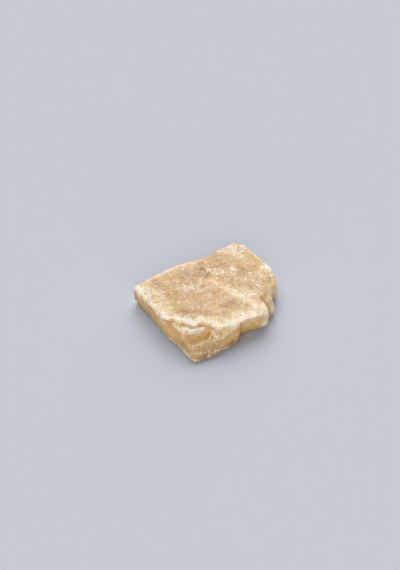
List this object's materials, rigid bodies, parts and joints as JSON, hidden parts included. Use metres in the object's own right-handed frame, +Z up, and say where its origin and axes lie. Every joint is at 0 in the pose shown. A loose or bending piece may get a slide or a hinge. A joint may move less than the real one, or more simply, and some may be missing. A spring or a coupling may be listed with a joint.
{
  "type": "raw calcite stone",
  "caption": "Rough flat slab of honey-coloured raw calcite with broken facets, ledges and frosted edges, lying on its flat underside.",
  "frame": {"origin": "middle of the stone's outline in plan, on the flat underside that it lies on", "axes": "+X along the longest side, towards the side with the low ledge at its front corner; +Y towards the long straight back; +Z up, out of the upper surface"},
  "size_m": [0.0558, 0.0462, 0.0101],
  "materials": {
    "calcite": "rough broken surface, faintly translucent, with frosted bruised edges"
  },
  "bodies": {
    "root": {"calcite": "calcite"}
  },
  "joints": []
}
